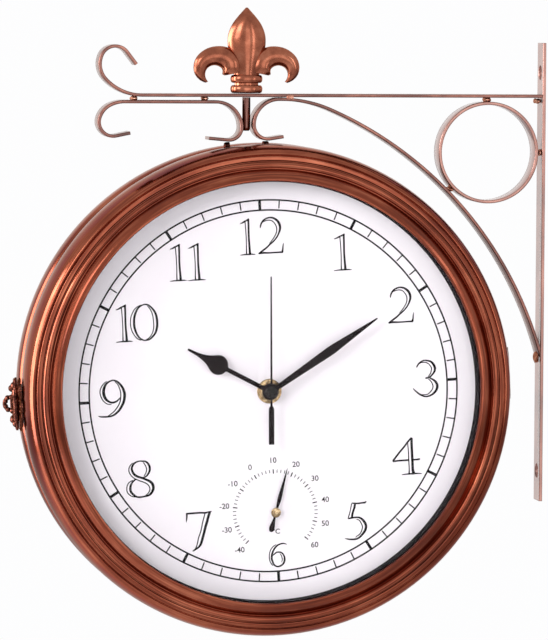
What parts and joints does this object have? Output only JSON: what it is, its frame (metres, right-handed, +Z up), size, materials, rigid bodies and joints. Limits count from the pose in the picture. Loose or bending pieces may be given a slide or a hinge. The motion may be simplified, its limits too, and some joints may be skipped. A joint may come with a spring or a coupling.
{
  "type": "garden wall clock",
  "caption": "Double-faced round garden clock in a hinged case under a scrolled wall bracket, with a finial and a small dial thermometer.",
  "frame": {"origin": "middle of the wall strap's back face, where it meets the wall", "axes": "+X into the wall, -Y the way the front dial faces, +Z up"},
  "size_m": [0.332, 0.077, 0.3816],
  "materials": {
    "bracket_copper": "antique copper, satin",
    "case_copper": "antique copper, polished",
    "cast_copper": "antique copper over a casting",
    "weld": "weld bead under the copper finish",
    "dark_iron": "dark antique finish",
    "clear_glass": "clear, flat",
    "black_plastic": "black",
    "dial_white": "white printed sheet",
    "hand_black": "black lacquer",
    "brass": "bare brass",
    "steel": "zinc plated",
    "cell": "plain dark wrap",
    "bimetal": "bimetal strip"
  },
  "bodies": {
    "bracket": {"weld_scroll_left": "weld", "weld_scroll_right": "weld", "weld_ring_top": "weld", "weld_ring_side": "weld", "weld_ring_brace": "weld", "weld_foot_left": "weld", "weld_foot_right": "weld", "weld_bar_end": "weld", "weld_brace_end": "weld", "weld_crown": "weld", "wall_strap": "bracket_copper", "top_bar": "bracket_copper", "lower_scroll": "bracket_copper", "brace_scroll": "bracket_copper", "bracket_ring": "bracket_copper", "hanger_post": "bracket_copper", "finial": "cast_copper", "rear_shell": "case_copper", "rear_glass": "clear_glass", "rear_spacer_ring": "black_plastic", "rear_dial": "dial_white", "rear_retaining_ring": "steel", "rear_movement": "black_plastic", "rear_battery": "cell", "rear_bush": "brass", "rear_washer": "brass", "rear_nut": "brass", "hinge_leaf_rear": "dark_iron", "hinge_pin": "dark_iron", "latch_keeper": "dark_iron"},
    "front_half": {"front_shell": "case_copper", "front_glass": "clear_glass", "front_spacer_ring": "black_plastic", "front_dial": "dial_white", "front_retaining_ring": "steel", "front_movement": "black_plastic", "front_battery": "cell", "front_bush": "brass", "front_washer": "brass", "front_nut": "brass", "thermometer_cup": "steel", "thermometer_coil": "bimetal", "hinge_leaf_front": "dark_iron", "latch_plate": "dark_iron", "latch_pin": "dark_iron"},
    "latch_hasp": {"latch_hasp": "dark_iron"},
    "thermometer_needle": {"thermometer_pointer": "hand_black", "thermometer_spindle": "brass"},
    "front_hour": {"front_hour_hand": "hand_black", "front_hour_tube": "brass"},
    "front_minute": {"front_minute_hand": "hand_black", "front_minute_tube": "brass"},
    "front_second": {"front_second_hand": "hand_black"},
    "front_knob": {"front_setting_knob": "black_plastic"},
    "rear_hour": {"rear_hour_hand": "hand_black", "rear_hour_tube": "brass"},
    "rear_minute": {"rear_minute_hand": "hand_black", "rear_minute_tube": "brass"},
    "rear_second": {"rear_second_hand": "hand_black"},
    "rear_knob": {"rear_setting_knob": "black_plastic"}
  },
  "joints": [
    {"name": "case_hinge", "type": "hinge", "parent": "bracket", "child": "front_half", "pos_m": [-0.0223, 0, -0.06186], "axis": [-0.0576, 0, 0.9983], "range_deg": [0, 45]},
    {"name": "hasp_hinge", "type": "hinge", "parent": "front_half", "child": "latch_hasp", "pos_m": [-0.3254, -0.0065, -0.07933], "axis": [-0.0576, 0, 0.9983], "range_deg": [0, 100]},
    {"name": "thermometer_turn", "type": "hinge", "parent": "front_half", "child": "thermometer_needle", "pos_m": [-0.1688, -0.0225, -0.14433], "axis": [0, 1, 0], "range_deg": [-150.7, 115.3]},
    {"name": "front_second_turn", "type": "hinge", "parent": "front_half", "child": "front_second", "pos_m": [-0.17305, -0.0225, -0.07055], "axis": [0, 1, 0], "continuous": true},
    {"name": "front_minute_turn", "type": "hinge", "parent": "front_half", "child": "front_minute", "pos_m": [-0.17305, -0.0225, -0.07055], "axis": [0, 1, 0], "continuous": true},
    {"name": "front_hour_turn", "type": "hinge", "parent": "front_half", "child": "front_hour", "pos_m": [-0.17305, -0.0225, -0.07055], "axis": [0, 1, 0], "continuous": true},
    {"name": "front_knob_turn", "type": "hinge", "parent": "front_half", "child": "front_knob", "pos_m": [-0.17368, -0.0026, -0.05957], "axis": [0, 1, 0], "continuous": true},
    {"name": "rear_second_turn", "type": "hinge", "parent": "bracket", "child": "rear_second", "pos_m": [-0.17305, 0.0225, -0.07055], "axis": [0, -1, 0], "continuous": true},
    {"name": "rear_minute_turn", "type": "hinge", "parent": "bracket", "child": "rear_minute", "pos_m": [-0.17305, 0.0225, -0.07055], "axis": [0, -1, 0], "continuous": true},
    {"name": "rear_hour_turn", "type": "hinge", "parent": "bracket", "child": "rear_hour", "pos_m": [-0.17305, 0.0225, -0.07055], "axis": [0, -1, 0], "continuous": true},
    {"name": "rear_knob_turn", "type": "hinge", "parent": "bracket", "child": "rear_knob", "pos_m": [-0.17368, 0.0026, -0.05957], "axis": [0, -1, 0], "continuous": true}
  ],
  "couplings": [
    {"joint": "front_minute_turn", "follows": "front_second_turn", "ratio": 0.016667},
    {"joint": "front_hour_turn", "follows": "front_second_turn", "ratio": 0.0013889},
    {"joint": "front_knob_turn", "follows": "front_second_turn", "ratio": 0.016667},
    {"joint": "rear_minute_turn", "follows": "rear_second_turn", "ratio": 0.016667},
    {"joint": "rear_hour_turn", "follows": "rear_second_turn", "ratio": 0.0013889},
    {"joint": "rear_knob_turn", "follows": "rear_second_turn", "ratio": 0.016667}
  ]
}
